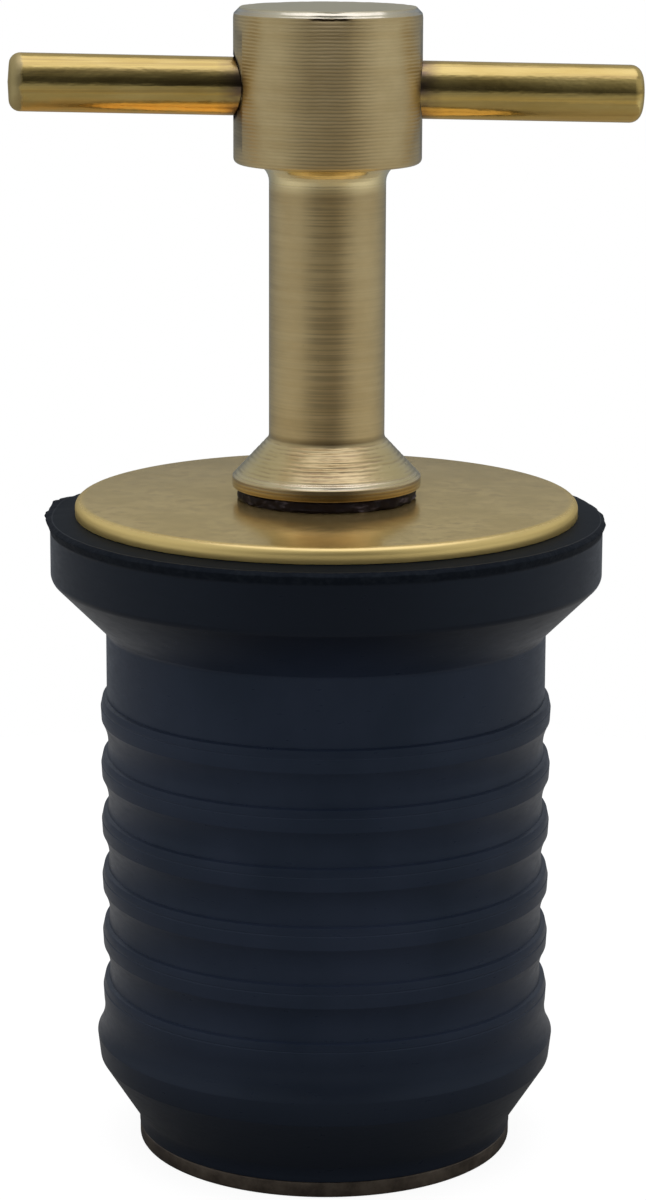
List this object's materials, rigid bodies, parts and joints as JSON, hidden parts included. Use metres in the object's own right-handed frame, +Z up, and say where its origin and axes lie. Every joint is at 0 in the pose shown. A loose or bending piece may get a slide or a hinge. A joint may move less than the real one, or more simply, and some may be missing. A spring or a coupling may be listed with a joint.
{
  "type": "boat drain plug",
  "caption": "Twist-tight drain plug: a ribbed rubber stopper is squeezed between two plates by a brass T handle on a stud, so that it swells and seals a drain tube.",
  "frame": {"origin": "on the plug's axis, at the underside of the bottom plate", "axes": "+Z up along the plug's axis, from the bottom plate to the handle; +X along the cross bar; +Y across it"},
  "size_m": [0.034, 0.0306, 0.0632],
  "materials": {
    "dull_bronze": "dull, darkened edge",
    "stud_brass": "threaded rod",
    "black_rubber": "moulded, satin, with flash lines",
    "plate_brass": "satin, rolled edge",
    "dark_washer": "dark, rough edge",
    "turned_brass": "fine turning marks",
    "rod_brass": "drawn rod, bright"
  },
  "bodies": {
    "plug_core": {"bottom_plate": "dull_bronze", "stud": "stud_brass", "rubber_stopper": "black_rubber"},
    "clamp_plate": {"top_plate": "plate_brass", "thrust_washer": "dark_washer"},
    "t_handle": {"handle_post": "turned_brass", "cross_bar": "rod_brass"}
  },
  "joints": [
    {"name": "clamp_slide", "type": "slide", "parent": "plug_core", "child": "clamp_plate", "axis": [0, 0, -1], "range_m": [0, 0.0035], "deforming": ["rubber_stopper"]},
    {"name": "handle_turn", "type": "hinge", "parent": "clamp_plate", "child": "t_handle", "pos_m": [0, 0, 0.0373], "axis": [0, 0, -1], "range_deg": [0, 1800]}
  ],
  "couplings": [
    {"joint": "handle_turn", "follows": "clamp_slide", "rad_per_m": 8976}
  ]
}
